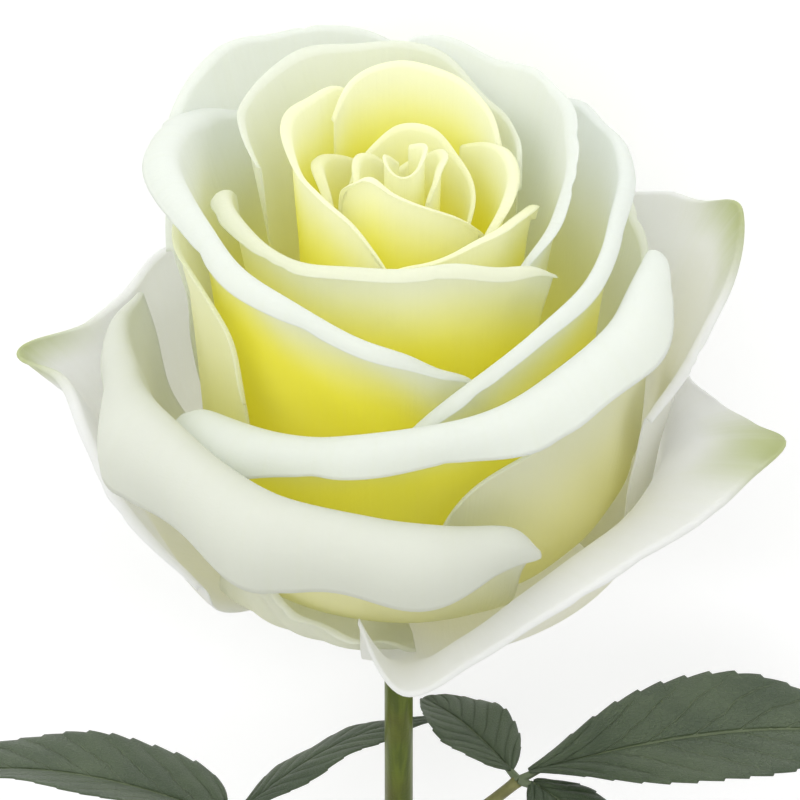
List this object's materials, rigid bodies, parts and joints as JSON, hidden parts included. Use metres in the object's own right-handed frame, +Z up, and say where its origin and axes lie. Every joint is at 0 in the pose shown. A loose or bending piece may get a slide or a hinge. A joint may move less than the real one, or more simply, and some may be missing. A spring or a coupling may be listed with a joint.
{
  "type": "cut rose",
  "caption": "Half-open cream rose bloom with rolled petal rims and pointed guard petals on a thorned cut stem with trifoliate leaves, lying on its side.",
  "frame": {"origin": "centre of the overall box, on the level surface the rose lies on", "axes": "+Z up; +Y from the cut end of the stem towards the bloom; +X to the bloom's right as seen in the view it was built from, with that view's near side turned up"},
  "size_m": [0.158, 0.3556, 0.102],
  "materials": {
    "petal": "soft satin, cream white rim over a yellow base",
    "guard_petal": "soft satin, white with green tinted tip",
    "stem": "smooth satin green",
    "hip": "smooth satin green",
    "sepal": "matt green",
    "leaf": "semi-gloss dark grey green",
    "petiole": "satin green with a brown tint"
  },
  "bodies": {
    "root": {"hip": "hip", "leaf_left_back": "leaf", "leaf_left_front": "leaf", "leaf_left_petiole": "petiole", "leaf_left_terminal": "leaf", "leaf_right_back": "leaf", "leaf_right_front": "leaf", "leaf_right_petiole": "petiole", "leaf_right_terminal": "leaf", "petal_back_left": "petal", "petal_back_right": "petal", "petal_bud_1": "petal", "petal_bud_2": "petal", "petal_bud_arch": "petal", "petal_bud_front": "petal", "petal_bud_left": "petal", "petal_bud_right": "petal", "petal_core": "petal", "petal_cup_back": "petal", "petal_cup_front": "petal", "petal_cup_right": "petal", "petal_front_band": "petal", "petal_front_low": "petal", "petal_front_under": "petal", "petal_guard_back_a": "guard_petal", "petal_guard_back_b": "guard_petal", "petal_guard_front": "guard_petal", "petal_guard_left": "guard_petal", "petal_guard_right": "guard_petal", "petal_inner_back": "petal", "petal_inner_left": "petal", "petal_inner_right": "petal", "petal_left": "petal", "petal_left_side": "petal", "petal_right": "petal", "petal_right_back": "guard_petal", "sepal_1": "sepal", "sepal_2": "sepal", "sepal_3": "sepal", "sepal_4": "sepal", "sepal_5": "sepal", "stem": "stem"}
  },
  "joints": []
}
